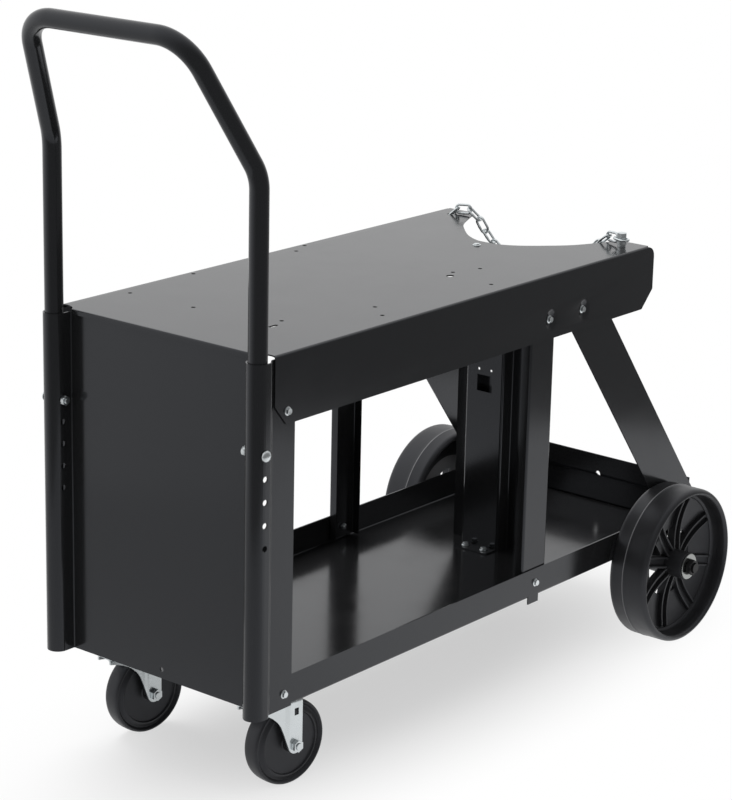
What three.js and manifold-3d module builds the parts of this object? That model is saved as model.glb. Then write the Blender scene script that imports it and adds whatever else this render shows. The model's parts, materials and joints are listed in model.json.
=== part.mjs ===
// Utility cart of folded sheet steel: a flat top tray, a lower tray with a cylinder platform at the
// rear, a bent tube handle in rolled sleeves, two swivel casters, two large wheels and a chain.
// Millimetres. x runs from the tray's front edge to the rear, y to the left, z up from the floor.
import * as THREE from "three";
import { mergeVertices } from "three/addons/utils/BufferGeometryUtils.js";
import Module from "manifold-3d";

const wasm = await Module();
wasm.setup();

// Sheet metal and fits
const sheet = 2;
const gap = 0.3;
const bend = 3;

// Top tray
const trayTop = 655;
const trayHalf = 200;
const trayRear = 897;
const skirtFront = 11.5;
const skirtRear = 908;
const skirtBottom = 557;
const skirtChamfer = { front: 23.5, rear: 28, rise: 28.5 };
const holeInset = 29;
const skirtCorner = 16;
const lipBottom = 648;
const lipHalf = trayHalf - 34;
const notchMouth = { x: 868, y: 131, slope: THREE.MathUtils.degToRad(21) };
const notchEdge = [[737, 0], [741, 22], [757, 50], [786, 80], [820, 108], [notchMouth.x, notchMouth.y]];
const notchSteps = 40;
const prongCorner = 26;
const tubeNotch = 19;

// Bolt holes, x and y on the tray's top and x and z on its skirts
const trayHoles = [
  [122, 173], [269, 187], [125, 53], [485, 174], [522, 189], [155, -85], [304, -129],
  [275, -166], [545, -82], [592, -97], [525, -168],
];
const trayHoleRadius = 3.4;
const traySlots = [
  { x: 126, y: -95, length: 18, radius: 3 },
  { x: 524, y: -93, length: 13, radius: 5.5 },
];
const dimples = [[637, skirtBottom + holeInset], [722, skirtBottom + holeInset]];
const dimpleRadius = { mouth: 15, floor: 8.5 };
const dimpleStretch = 1.3;

// Bottom tray, rear wall and axle
const railTop = 193;
const railBottom = 147.7;
const bottomFront = 9;
const bottomRear = 1080;
const wallX = 1069;
const wallTop = 234;
const wallJog = { z: 197, step: -4 };
const wallFoot = 9;
const wallHole = { y: -10, z: 201, radius: 4.5 };
const axleX = 953;
const axleZ = 127;
const axleRadius = 8;
const bracketY = trayHalf - 14;
const bracket = { half: 28, thick: 4, below: 19 };
const railTab = { x: 625, half: 13, drop: 10 };

// Front panel with its rolled handle sleeves
const panelTop = 650;
const panelX = 6;
const flangeEnd = 55;
const sleeveX = -12;
const sleeveY = trayHalf - 10.4;
const tubeRadius = 13.35;
const tubeWall = 2.3;
const sleeveClearance = 0.6;
const holeTop = 524.5;
const holePitch = 32.4;
const holeCount = 5;
const holeRadius = 4.6;
const panelHole = { z: 161, radius: 3.5 };

// Handle
const handleBottom = 503;
const handleBendZ = 897;
const handleTop = { x: -101, y: sleeveY - 47.6, z: 1077 };
const handleBends = { low: 70, high: 60 };
const handleTravel = 3 * holePitch;

// Posts, struts and the centre post
const postFront = 597;
const postWidth = 60;
const postFlange = 15;
const postTop = 645;
const strutTop = 600;
const strutFoot = 151;
const strutSlope = 0.777;
const strutEdges = { front: 704, rear: 809.5, z: 552.4 };
const centre = { x: 746, face: 35.4, depth: 25, flange: 71, tab: 50, foot: 26 };
const centreHoles = { y: 12, z: 447, radius: 2.5 };
const centreRelief = 600;
const centrePocket = { half: 14.5, bottom: 411, top: 438, depth: 18 };

// Rear wheels
const wheelRadius = 127;
const wheelHalf = 34.5;
const wheelY = trayHalf + 32.5;
const wheelBore = axleRadius + gap;
const hubRadius = 22;
const rimRadius = 114;
const hubFace = 34.5;
const dish = { hub: 10.5, middle: 5, rim: 16, at: 65 };
const spokeCount = 8;
const firstSpoke = THREE.MathUtils.degToRad(32);
const rib = { height: 7, width: 3.6, spacing: 15 };
const webThick = 6;
const windowReach = 57;
const wheelSides = 28;
const treadLine = { height: 0.6, at: -7.5 };
const rimLip = { inside: 11, crown: 7, step: 3 };
const shoulder = { in: 7, out: 3, drop: 2 };

// Casters
const casterX = 68;
const casterY = trayHalf - 63.5;
const casterTrail = 38;
const casterWheelRadius = 63.5;
const casterWheelHalf = 16;
const casterYaw = { left: -7, right: -8 };
const forkInside = 22;
const forkSheet = 3;
const crownTop = 134;
const casterAxle = 5;

// Chain
const link = { wire: 4, inside: 23.6, width: 9.8 };
const swingClearance = 0.2;
const chainPitch = 22.4;
const chainTurn = THREE.MathUtils.degToRad(12);
const chainSlot = { x: 866, y: notchMouth.y + 37, length: 21, radius: 4.9, turn: chainTurn };
const chainDip = THREE.MathUtils.degToRad(45);
const chainBolt = { x: 861.5, y: -notchMouth.y - 38, radius: 4 };
const chainBoltHead = { radius: 8, height: 8 };
const chainBoltNut = { radius: 7.4, height: 6 };
const hangingLinks = 13;

// Materials
const blackPaint = new THREE.MeshStandardMaterial({ color: 0x141517, roughness: 0.3, metalness: 0.1 });
const blackRubber = new THREE.MeshStandardMaterial({ color: 0x1c1c1e, roughness: 0.6, metalness: 0 });
const zinc = new THREE.MeshStandardMaterial({ color: 0xc4c8cb, roughness: 0.3, metalness: 0.9 });
const darkSteel = new THREE.MeshStandardMaterial({ color: 0x4c4d50, roughness: 0.4, metalness: 0.8 });

// Solids: a three.js geometry becomes a closed body, and a body becomes a geometry again.
function solid(geometry) {
  const bare = geometry.clone();
  bare.deleteAttribute("normal");
  bare.deleteAttribute("uv");
  const merged = mergeVertices(bare, 1e-4);
  const corners = merged.index.array;
  const kept = [];
  for (let i = 0; i < corners.length; i += 3) {
    const [a, b, c] = [corners[i], corners[i + 1], corners[i + 2]];
    if (a !== b && b !== c && c !== a) {
      kept.push(a, b, c);
    }
  }
  const vertProperties = new Float32Array(merged.attributes.position.array);
  return new wasm.Manifold(new wasm.Mesh({ numProp: 3, vertProperties, triVerts: new Uint32Array(kept) }));
}

function geometryOf(body) {
  const mesh = body.getMesh();
  const geometry = new THREE.BufferGeometry();
  geometry.setAttribute("position", new THREE.BufferAttribute(mesh.vertProperties, 3));
  geometry.setIndex(new THREE.BufferAttribute(mesh.triVerts, 1));
  geometry.computeVertexNormals();
  return geometry;
}

function joined(...bodies) {
  return bodies.reduce((whole, body) => whole.add(body));
}

function cut(body, ...tools) {
  return tools.reduce((rest, tool) => rest.subtract(tool), body);
}

function mesh(name, body, material) {
  const piece = new THREE.Mesh(geometryOf(body), material);
  piece.name = name;
  return piece;
}

// Basic forms
function box(x0, x1, y0, y1, z0, z1) {
  const geometry = new THREE.BoxGeometry(x1 - x0, y1 - y0, z1 - z0);
  return solid(geometry.translate((x0 + x1) / 2, (y0 + y1) / 2, (z0 + z1) / 2));
}

function rodY(x, z, y0, y1, radius, sides = 8) {
  const geometry = new THREE.CylinderGeometry(radius, radius, y1 - y0, sides);
  return solid(geometry.translate(x, (y0 + y1) / 2, z));
}

function rodZ(x, y, z0, z1, radius, sides = 16) {
  const geometry = new THREE.CylinderGeometry(radius, radius, z1 - z0, sides).rotateX(Math.PI / 2);
  return solid(geometry.translate(x, y, (z0 + z1) / 2));
}

function rodX(y, z, x0, x1, radius, sides = 8) {
  const geometry = new THREE.CylinderGeometry(radius, radius, x1 - x0, sides).rotateZ(Math.PI / 2);
  return solid(geometry.translate((x0 + x1) / 2, y, z));
}

function turned(profile, sides) {
  const points = profile.map(([radius, height]) => new THREE.Vector2(radius, height));
  return solid(new THREE.LatheGeometry(points, sides));
}

// Extrusions of an outline drawn in the xy, xz or yz plane
function extruded(shape, depth, matrix, curveSegments) {
  const geometry = new THREE.ExtrudeGeometry(shape, { depth, bevelEnabled: false, curveSegments });
  return solid(geometry.applyMatrix4(matrix));
}

function alongZ(shape, z0, z1, curveSegments = 3) {
  return extruded(shape, z1 - z0, new THREE.Matrix4().makeTranslation(0, 0, z0), curveSegments);
}

function alongY(shape, y0, y1, curveSegments = 3) {
  const turn = new THREE.Matrix4().makeRotationX(Math.PI / 2);
  turn.premultiply(new THREE.Matrix4().makeTranslation(0, y1, 0));
  return extruded(shape, y1 - y0, turn, curveSegments);
}

function alongX(shape, x0, x1) {
  const turn = new THREE.Matrix4().makeBasis(
    new THREE.Vector3(0, 1, 0), new THREE.Vector3(0, 0, 1), new THREE.Vector3(1, 0, 0));
  turn.premultiply(new THREE.Matrix4().makeTranslation(x0, 0, 0));
  return extruded(shape, x1 - x0, turn, 3);
}

function outline(points) {
  return new THREE.Shape(points.map(([u, v]) => new THREE.Vector2(u, v)));
}

// The path of a bent sheet or tube: straight runs between corners, each rounded by its own radius
function bentPath(corners) {
  const points = corners.map(([position]) => position);
  const path = [];
  corners.forEach(([corner, radius], i) => {
    if (!radius || i === 0 || i === corners.length - 1) {
      path.push(corner.clone());
      return;
    }
    const before = points[i - 1].clone().sub(corner).normalize();
    const after = points[i + 1].clone().sub(corner).normalize();
    const turn = Math.PI - before.angleTo(after);
    const reach = radius * Math.tan(turn / 2);
    const middle = before.clone().add(after).normalize();
    const centreOf = corner.clone().addScaledVector(middle, radius / Math.cos(turn / 2));
    const start = corner.clone().addScaledVector(before, reach).sub(centreOf);
    const end = corner.clone().addScaledVector(after, reach).sub(centreOf);
    const arcStep = radius > 10 ? Math.PI / 12 : Math.PI / 5;
    const steps = Math.max(2, Math.ceil(turn / arcStep));
    for (let k = 0; k <= steps; k += 1) {
      const share = k / steps;
      const a = Math.sin((1 - share) * turn) / Math.sin(turn);
      const b = Math.sin(share * turn) / Math.sin(turn);
      path.push(centreOf.clone().addScaledVector(start, a).addScaledVector(end, b));
    }
  });
  return path.filter((point, i) => i === 0 || point.distanceTo(path[i - 1]) > 1e-3);
}

function ribbon(corners, thickness = sheet) {
  const path = bentPath(corners.map(([u, v, radius = 0]) => [new THREE.Vector3(u, v, 0), radius]));
  const sides = [[], []];
  path.forEach((point, i) => {
    const into = point.clone().sub(path[Math.max(i - 1, 0)]).normalize();
    const out = path[Math.min(i + 1, path.length - 1)].clone().sub(point).normalize();
    const along = into.clone().add(out).normalize();
    const other = into.lengthSq() > 0 ? into : out;
    const reach = thickness / 2 / Math.max(along.dot(other), 0.2);
    sides[0].push([point.x - along.y * reach, point.y + along.x * reach]);
    sides[1].unshift([point.x + along.y * reach, point.y - along.x * reach]);
  });
  return outline([...sides[0], ...sides[1]]);
}

class BentTube extends THREE.Curve {
  constructor(stations) {
    super();
    this.stations = stations;
  }

  getPointAt(share) {
    return this.stations[Math.round(share * (this.stations.length - 1))].clone();
  }

  getTangentAt(share) {
    const at = Math.round(share * (this.stations.length - 1));
    const before = this.stations[Math.max(at - 1, 0)];
    const after = this.stations[Math.min(at + 1, this.stations.length - 1)];
    return after.clone().sub(before).normalize();
  }
}

// Front panel: one sheet whose edges roll forward into sleeves and run back as side flanges
const sleeveMid = tubeRadius + sleeveClearance + sheet / 2;
const outerWall = sleeveY + sleeveMid;
const innerWall = sleeveY - sleeveMid;
const flangeMid = trayHalf - sheet - gap - sheet / 2;
const panelBottom = railBottom;

function frontPanel() {
  const edge = (side) => [
    [flangeEnd, side * flangeMid],
    [skirtFront - 3, side * flangeMid, 4],
    [sleeveX + 10, side * outerWall, 4],
    [sleeveX - sleeveMid, side * outerWall, sleeveMid],
    [sleeveX - sleeveMid, side * innerWall, sleeveMid],
    [panelX, side * innerWall, bend],
  ];
  const body = alongZ(ribbon([...edge(1), ...edge(-1).reverse()]), panelBottom, panelTop);
  const holes = [];
  for (let i = 0; i < holeCount; i += 1) {
    for (const side of [1, -1]) {
      const middle = side * sleeveY;
      const reach = sleeveMid + sheet;
      holes.push(rodY(sleeveX, holeTop - i * holePitch, middle - reach, middle + reach, holeRadius));
    }
  }
  holes.push(rodX(0, panelHole.z, panelX - sheet, panelX + sheet, panelHole.radius));
  return cut(body, ...holes);
}

// Handle: one tube, two legs bent back to the user and joined by a cross bar; each leg has a slot
// for its bolt, as long as the height can be changed
function handle() {
  const at = (x, y, z) => new THREE.Vector3(x, y, z);
  const corners = [
    [at(sleeveX, sleeveY, handleBottom), 0],
    [at(sleeveX, sleeveY, handleBendZ), handleBends.low],
    [at(handleTop.x, handleTop.y, handleTop.z), handleBends.high],
    [at(handleTop.x, -handleTop.y, handleTop.z), handleBends.high],
    [at(sleeveX, -sleeveY, handleBendZ), handleBends.low],
    [at(sleeveX, -sleeveY, handleBottom), 0],
  ];
  const stations = bentPath(corners);
  const section = new THREE.Shape().absarc(0, 0, tubeRadius, 0, 2 * Math.PI);
  section.holes.push(new THREE.Path().absarc(0, 0, tubeRadius - tubeWall, 0, 2 * Math.PI));
  const extrudePath = new BentTube(stations);
  const options = { steps: stations.length - 1, curveSegments: 6, extrudePath };
  const tube = solid(new THREE.ExtrudeGeometry(section, options));
  const slots = [1, -1].map((side) => {
    const slot = new THREE.Shape();
    slot.absarc(sleeveX, holeTop + handleTravel, holeRadius, 0, Math.PI);
    slot.absarc(sleeveX, holeTop, holeRadius, Math.PI, 2 * Math.PI);
    const reach = tubeRadius + 1;
    return alongY(slot, side * sleeveY - reach, side * sleeveY + reach);
  });
  return cut(tube, ...slots);
}

// Handle bolts and nuts through the sleeves' top holes
const handleBoltRadius = 4;
const handleNutRadius = 7.4;

function handleBolt(side) {
  const head = outerWall + sheet / 2 + gap;
  const tip = innerWall - sheet / 2 - 8;
  const shank = rodY(sleeveX, holeTop, tip, head + 2, handleBoltRadius, 12);
  const dome = turned([[0, 0], [8.2, 0], [8.2, 1], [6.6, 3.4], [3.6, 4.9], [0, 5.3]], 12);
  const cap = dome.translate([sleeveX, head, holeTop]);
  return mesh(`${side}_handle_bolt`, joined(shank, cap), zinc);
}

function handleNut(side) {
  const seat = innerWall - sheet / 2 - gap;
  const nut = rodY(sleeveX, holeTop, seat - 6.5, seat, handleNutRadius, 6);
  const thread = rodY(sleeveX, holeTop, seat - 8, seat + 1, handleBoltRadius + gap, 12);
  return mesh(`${side}_handle_nut`, cut(nut, thread), zinc);
}

// Top tray: a plate with turned-down skirts, a front lip and a rounded notch for a gas cylinder
function notchOutline() {
  const shape = new THREE.Shape();
  const far = trayRear + 30;
  const cornerX = trayRear - prongCorner;
  const { x, y, slope } = notchMouth;
  const cornerY = y + (prongCorner + (cornerX - x) * Math.sin(slope)) / Math.cos(slope);
  const half = notchEdge.slice(1).map(([along, across]) => new THREE.Vector2(along, across));
  const mirrored = half.map((point) => new THREE.Vector2(point.x, -point.y));
  const edge = new THREE.SplineCurve([...half.reverse(), new THREE.Vector2(...notchEdge[0]), ...mirrored]);
  shape.moveTo(far, -cornerY);
  shape.lineTo(far, cornerY);
  shape.lineTo(trayRear, cornerY);
  shape.absarc(cornerX, cornerY, prongCorner, 0, slope - Math.PI / 2, true);
  edge.getPoints(notchSteps).forEach((point) => shape.lineTo(point.x, point.y));
  shape.absarc(cornerX, -cornerY, prongCorner, Math.PI / 2 - slope, 0, true);
  return shape;
}

function slotOutline({ x, y, length, radius, turn = 0 }) {
  const reach = length / 2 - radius;
  const [dx, dy] = [reach * Math.cos(turn), reach * Math.sin(turn)];
  const shape = new THREE.Shape();
  shape.absarc(x + dx, y + dy, radius, turn - Math.PI / 2, turn + Math.PI / 2);
  shape.absarc(x - dx, y - dy, radius, turn + Math.PI / 2, turn + 3 * Math.PI / 2);
  return shape;
}

// A conical dimple pressed inwards, so that the skirt reaches the post or strut behind it
const postOutside = trayHalf - 2 * sheet - 2 * gap - sheet - gap;
const dimpleDepth = trayHalf - sheet - gap - postOutside;

function dimple(x, z) {
  const { mouth, floor } = dimpleRadius;
  const cup = turned([
    [0, -dimpleDepth - sheet], [floor + 1, -dimpleDepth - sheet], [mouth + 1.4, -sheet],
    [mouth + 1.4, -sheet / 2], [mouth, 0], [floor, -dimpleDepth], [0, -dimpleDepth],
  ], 12);
  const opening = rodY(0, 0, -sheet - 1, 1, mouth, 12);
  const placed = (body) => body.scale([1, 1, dimpleStretch]).translate([x, trayHalf, z]);
  return { cup: placed(cup), opening: placed(opening) };
}

function topTray() {
  const skirtMid = trayHalf - sheet / 2;
  const plateMid = trayTop - sheet / 2;
  let body = alongX(ribbon([
    [skirtMid, skirtBottom], [skirtMid, plateMid, bend], [-skirtMid, plateMid, bend],
    [-skirtMid, skirtBottom],
  ]), 0, skirtRear);
  const above = trayTop + 5;
  const below = skirtBottom - 5;
  const beside = trayHalf + 5;
  const inside = trayHalf - sheet;
  const cuts = [
    alongZ(notchOutline(), below, above, 8),
    box(trayRear, skirtRear + 5, -inside, inside, below, above),
  ];
  const { front, rear, rise } = skirtChamfer;
  const frontCorner = outline([
    [-5, below], [skirtFront + front + 4, below], [skirtFront + front, skirtBottom],
    [skirtFront, skirtBottom + rise], [skirtFront, above], [-5, above],
  ]);
  const rearCorner = outline([
    [skirtRear + 5, below], [skirtRear + 5, skirtBottom + rise], [skirtRear, skirtBottom + rise],
    [skirtRear - rear, skirtBottom], [skirtRear - rear - 4, below],
  ]);
  const rounding = new THREE.Shape();
  rounding.moveTo(skirtRear + 5, above);
  rounding.lineTo(skirtRear - skirtCorner, above);
  rounding.lineTo(skirtRear - skirtCorner, trayTop - 1);
  rounding.absarc(skirtRear - skirtCorner, trayTop - 1 - skirtCorner, skirtCorner, Math.PI / 2, 0, true);
  rounding.lineTo(skirtRear + 5, trayTop - 1 - skirtCorner);
  for (const side of [1, -1]) {
    const tube = rodZ(sleeveX, side * sleeveY, below, above, tubeNotch + tubeRadius / 2, 24);
    const near = Math.min(side * (sleeveY - tubeNotch), side * beside);
    const far = Math.max(side * (sleeveY - tubeNotch), side * beside);
    const [thin, wide] = [side * (inside - bend), side * beside];
    const wall = [Math.min(thin, wide), Math.max(thin, wide)];
    cuts.push(tube, alongY(frontCorner, wall[0], wall[1]), box(-5, 0.5, near, far, below, above));
    cuts.push(alongY(rearCorner, wall[0], wall[1]), alongY(rounding, wall[0], wall[1]));
  }
  trayHoles.forEach(([x, y]) => cuts.push(rodZ(x, y, below, above, trayHoleRadius, 8)));
  [...traySlots, chainSlot].forEach((slot) => cuts.push(alongZ(slotOutline(slot), below, above)));
  cuts.push(rodZ(chainBolt.x, chainBolt.y, trayTop - 4, above, chainBolt.radius + gap, 12));
  const cups = dimples.map(([x, z]) => dimple(x, z));
  for (const { opening } of cups) {
    cuts.push(opening, opening.mirror([0, 1, 0]));
  }
  body = cut(body, ...cuts);
  for (const { cup } of cups) {
    body = joined(body, cup, cup.mirror([0, 1, 0]));
  }
  const lip = alongY(ribbon([
    [sheet / 2, lipBottom], [sheet / 2, plateMid, bend / 2], [skirtFront, plateMid],
  ]), -lipHalf, lipHalf);
  const corner = box(-5, bend, -lipHalf, lipHalf, below, above);
  return joined(cut(body, corner), lip);
}

// Bottom tray: a floor with upturned rails, axle brackets below and a tab under each post
function bottomTray() {
  const railMid = trayHalf - 2 * sheet - 2 * gap - sheet / 2;
  const floorMid = railBottom + sheet / 2;
  let body = alongX(ribbon([
    [railMid, railTop], [railMid, floorMid, bend], [-railMid, floorMid, bend], [-railMid, railTop],
  ]), bottomFront, bottomRear);
  const plate = new THREE.Shape();
  plate.moveTo(axleX - bracket.half, railBottom + sheet / 2);
  plate.lineTo(axleX - bracket.below, axleZ);
  plate.absarc(axleX, axleZ, bracket.below, Math.PI, 2 * Math.PI);
  plate.lineTo(axleX + bracket.half, railBottom + sheet / 2);
  for (const side of [1, -1]) {
    const y = side * bracketY;
    const ear = alongY(plate, y - bracket.thick / 2, y + bracket.thick / 2);
    const bore = rodY(axleX, axleZ, y - bracket.thick, y + bracket.thick, axleRadius + gap, 24);
    const tabY = side * railMid;
    const tab = box(railTab.x - railTab.half, railTab.x + railTab.half,
      tabY - sheet / 2, tabY + sheet / 2, railBottom - railTab.drop, railBottom + bend + 1);
    body = joined(body, cut(ear, bore), tab);
  }
  return body;
}

// Rear wall: stands on the floor behind the cylinder, with a band along its top set a little forward
function rearWall() {
  const foot = railBottom + sheet + gap + sheet / 2;
  const half = postOutside - sheet - gap;
  const band = wallX + wallJog.step;
  const body = alongY(ribbon([
    [wallX + wallFoot, foot], [wallX, foot, bend], [wallX, wallJog.z, bend],
    [band, wallJog.z - wallJog.step, bend], [band, wallTop],
  ]), -half, half);
  return cut(body, rodX(wallHole.y, wallHole.z, band - 10, wallX + 10, wallHole.radius));
}

// Posts: channels that carry the top tray at the sides, made for the left side
function post() {
  const web = postOutside - sheet / 2;
  const inner = postOutside - postFlange;
  const rear = postFront + postWidth - sheet / 2;
  const front = postFront + sheet / 2;
  return alongZ(ribbon([[front, inner], [front, web, bend], [rear, web, bend], [rear, inner]]),
    railBottom + sheet + bend, postTop);
}

// Struts: wide straps that slant from the top tray back to the rear wall, made for the left side
function strut() {
  const edge = (x, z) => x + (strutEdges.z - z) * strutSlope;
  const rear = bottomRear - sheet;
  const meet = strutEdges.z - (rear - strutEdges.rear) / strutSlope;
  return alongY(outline([
    [edge(strutEdges.front, strutTop), strutTop], [edge(strutEdges.front, strutFoot), strutFoot],
    [rear, strutFoot], [rear, meet], [edge(strutEdges.rear, strutTop), strutTop],
  ]), postOutside - sheet, postOutside);
}

// Centre post: a hat section between the trays, with a tab under the notch, a foot on the floor and a
// shallow pocket in its face; its sides end below the notch
function centrePost() {
  const { x, face, depth, flange, tab, foot } = centre;
  const top = trayTop - sheet - gap;
  const bottom = railBottom + sheet + gap;
  const hat = alongZ(ribbon([
    [x + depth, flange], [x + depth, face, bend], [x, face, bend], [x, -face, bend],
    [x + depth, -face, bend], [x + depth, -flange],
  ]), bottom, top);
  const shelf = (z0, reach) => box(x - reach, x + sheet / 2, -face + bend, face - bend, z0, z0 + sheet);
  const { y, z, radius } = centreHoles;
  const holes = [y, -y].map((at) => rodX(at, z, x - 5, x + 5, radius));
  const pocket = (wall, x0, x1) => box(x0, x1, -centrePocket.half - wall, centrePocket.half + wall,
    centrePocket.bottom - wall, centrePocket.top + wall);
  const back = x + centrePocket.depth;
  const body = joined(hat, shelf(top - sheet, tab), shelf(bottom, foot), pocket(sheet, x, back));
  const relief = box(x + sheet / 2, x + depth + sheet, -flange - 1, flange + 1, centreRelief, top + 1);
  return cut(body, ...holes, pocket(0, x - sheet, back - sheet), relief);
}

// Rear wheel: a moulded wheel with a dished web, turned about y with its outside on the left. Pairs of
// ribs run out along the dish from hub to rim, with a window between each pair and the next.
function dishLine(drop) {
  const line = new THREE.SplineCurve([
    new THREE.Vector2(hubRadius - 2, dish.hub - drop),
    new THREE.Vector2(dish.at, dish.middle - drop),
    new THREE.Vector2(rimRadius, dish.rim - drop),
  ]);
  return line.getPoints(4).map((point) => [point.x, point.y]);
}

function rearWheel() {
  const edge = wheelHalf;
  const tread = wheelRadius - treadLine.height;
  const face = edge - rimLip.step;
  const [lip, crown] = [wheelRadius - rimLip.inside, wheelRadius - rimLip.crown];
  const body = turned([
    [wheelBore, -face], [hubRadius, -face], ...dishLine(rib.height + webThick), [lip, -face],
    [crown, -edge], [tread - shoulder.out, shoulder.drop - edge], [tread, shoulder.in - edge],
    [tread, treadLine.at - treadLine.height], [wheelRadius, treadLine.at],
    [tread, treadLine.at + treadLine.height], [tread, edge - shoulder.in],
    [tread - shoulder.out, edge - shoulder.drop], [crown, edge], [lip, face],
    ...dishLine(rib.height).reverse(), [hubRadius - 1.5, hubFace], [wheelBore, hubFace], [wheelBore, -face],
  ], wheelSides);
  const fin = alongZ(
    outline([...dishLine(0), ...dishLine(rib.height + webThick / 2).reverse()]), 0, rib.width);
  const clear = rib.spacing / 2 + rib.width / 2;
  const ribs = [];
  const windows = [];
  for (let i = 0; i < spokeCount; i += 1) {
    const degrees = THREE.MathUtils.radToDeg(firstSpoke) + i * 360 / spokeCount;
    for (const offset of [-rib.spacing / 2, rib.spacing / 2]) {
      ribs.push(fin.translate([0, 0, offset - rib.width / 2]).rotate([0, -degrees, 0]));
    }
    const half = Math.PI / spokeCount;
    const spread = half - Math.asin(clear / windowReach) - 0.01;
    const pane = new THREE.Shape();
    pane.moveTo(clear / Math.sin(half) + 1, 0);
    pane.absarc(0, 0, windowReach, -spread, spread, false);
    windows.push(alongY(pane, -edge, edge, 2).rotate([0, -degrees - 180 / spokeCount, 0]));
  }
  return joined(cut(body, ...windows), ...ribs);
}

// Axle with its washers and nuts
const washerSeat = wheelY + hubFace + gap;
const washerThick = 2.6;
const washerRadius = 21;
const axleNut = { height: 9, radius: 13.5 };
const nutSeat = washerSeat + washerThick + gap;

function axle() {
  return rodY(axleX, axleZ, -nutSeat - 12, nutSeat + 12, axleRadius, 24);
}

function ring(x, z, y0, y1, outer, inner, sides) {
  return cut(rodY(x, z, y0, y1, outer, sides), rodY(x, z, y0 - 1, y1 + 1, inner, 16));
}

// Caster: a fixed plate with raceway and king pin, a pressed fork and a moulded wheel, round the pin
function casterPlate() {
  const top = railBottom - gap;
  const shape = new THREE.Shape();
  const [length, width, round] = [47, 34, 8];
  shape.absarc(length - round, width - round, round, 0, Math.PI / 2);
  shape.absarc(-length + round, width - round, round, Math.PI / 2, Math.PI);
  shape.absarc(-length + round, -width + round, round, Math.PI, 3 * Math.PI / 2);
  shape.absarc(length - round, -width + round, round, 3 * Math.PI / 2, 2 * Math.PI);
  const plate = alongZ(shape, top - forkSheet, top);
  const race = turned([
    [0, crownTop - 9], [9, crownTop - 9], [9, crownTop - forkSheet - gap], [6, crownTop - forkSheet - gap],
    [6, crownTop + gap], [27, crownTop + gap], [30, top - forkSheet + 0.5], [0, top - forkSheet + 0.5],
  ], 20);
  return joined(plate, solid(geometryOf(race).rotateX(Math.PI / 2)));
}

function fork() {
  const leg = forkInside + forkSheet / 2;
  const crown = crownTop - forkSheet / 2;
  const rear = casterTrail + 12.5;
  const front = -36;
  const sheetBody = alongX(ribbon([
    [leg, 30], [leg, crown, 5], [-leg, crown, 5], [-leg, 30],
  ], forkSheet), front, rear);
  const side = new THREE.Shape();
  side.moveTo(rear, crownTop + 1);
  side.lineTo(front, crownTop + 1);
  side.lineTo(front, crownTop - 15);
  side.quadraticCurveTo(2, crownTop - 20, casterTrail - 19, casterWheelRadius + 16);
  side.lineTo(casterTrail - 12, casterWheelRadius - 4);
  side.absarc(casterTrail, casterWheelRadius, 12.5, Math.PI + 0.35, 2 * Math.PI);
  const holeX = casterTrail - 9;
  const squares = box(holeX - 3.5, holeX + 3.5, -leg - 5, leg + 5, crownTop - 31, crownTop - 22);
  return cut(
    sheetBody.intersect(alongY(side, -leg - 5, leg + 5)),
    squares,
    rodY(casterTrail, casterWheelRadius, -leg - 5, leg + 5, casterAxle + gap, 16),
    rodZ(0, 0, crownTop - 10, crownTop + 5, 6 + gap, 16),
  );
}

function casterWheel() {
  const half = casterWheelHalf;
  const tread = casterWheelRadius;
  const hub = forkInside - 1;
  const bore = casterAxle + gap;
  const wheel = turned([
    [bore, -hub], [12, -hub], [14, -half + 5], [48, -half + 5], [50, -half + 0.8], [tread - 4, -half],
    [tread - 1.2, -half + 1.4], [tread, -half + 4.5], [tread, half - 4.5], [tread - 1.2, half - 1.4],
    [tread - 4, half], [50, half - 0.8], [48, half - 5], [14, half - 5], [12, hub], [bore, hub], [bore, -hub],
  ], 24);
  return wheel.translate([casterTrail, 0, casterWheelRadius]);
}

function casterBolt() {
  const outside = forkInside + forkSheet + gap;
  const shank = rodY(casterTrail, casterWheelRadius, -outside - 9, outside + 2, casterAxle, 16);
  return joined(shank, rodY(casterTrail, casterWheelRadius, outside, outside + 6, 9, 6));
}

function casterNut() {
  const outside = forkInside + forkSheet + gap;
  return ring(casterTrail, casterWheelRadius, -outside - 7, -outside, 9, casterAxle + gap, 6);
}

function caster(name, side) {
  const group = new THREE.Group();
  group.position.set(casterX, side * casterY, 0);
  group.add(mesh(`${name}_caster_plate`, casterPlate(), zinc));
  const swivel = new THREE.Group();
  swivel.rotation.z = THREE.MathUtils.degToRad(casterYaw[name]);
  swivel.add(mesh(`${name}_caster_fork`, fork(), zinc));
  swivel.add(mesh(`${name}_caster_wheel`, casterWheel(), blackRubber));
  swivel.add(mesh(`${name}_caster_bolt`, casterBolt(), zinc));
  swivel.add(mesh(`${name}_caster_nut`, casterNut(), zinc));
  group.add(swivel);
  return group;
}

// Chain: welded links that alternate flat and upright along a route of joint points
class LinkLoop extends THREE.Curve {
  getPointAt(share) {
    const round = (link.width + link.wire) / 2;
    const straight = (link.inside + link.wire) / 2 - round;
    const angle = 2 * Math.PI * share;
    const end = Math.cos(angle) >= 0 ? straight : -straight;
    return new THREE.Vector3(end + round * Math.cos(angle), round * Math.sin(angle), 0);
  }

  getTangentAt(share) {
    const angle = 2 * Math.PI * share;
    return new THREE.Vector3(-Math.sin(angle), Math.cos(angle), 0);
  }
}

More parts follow.
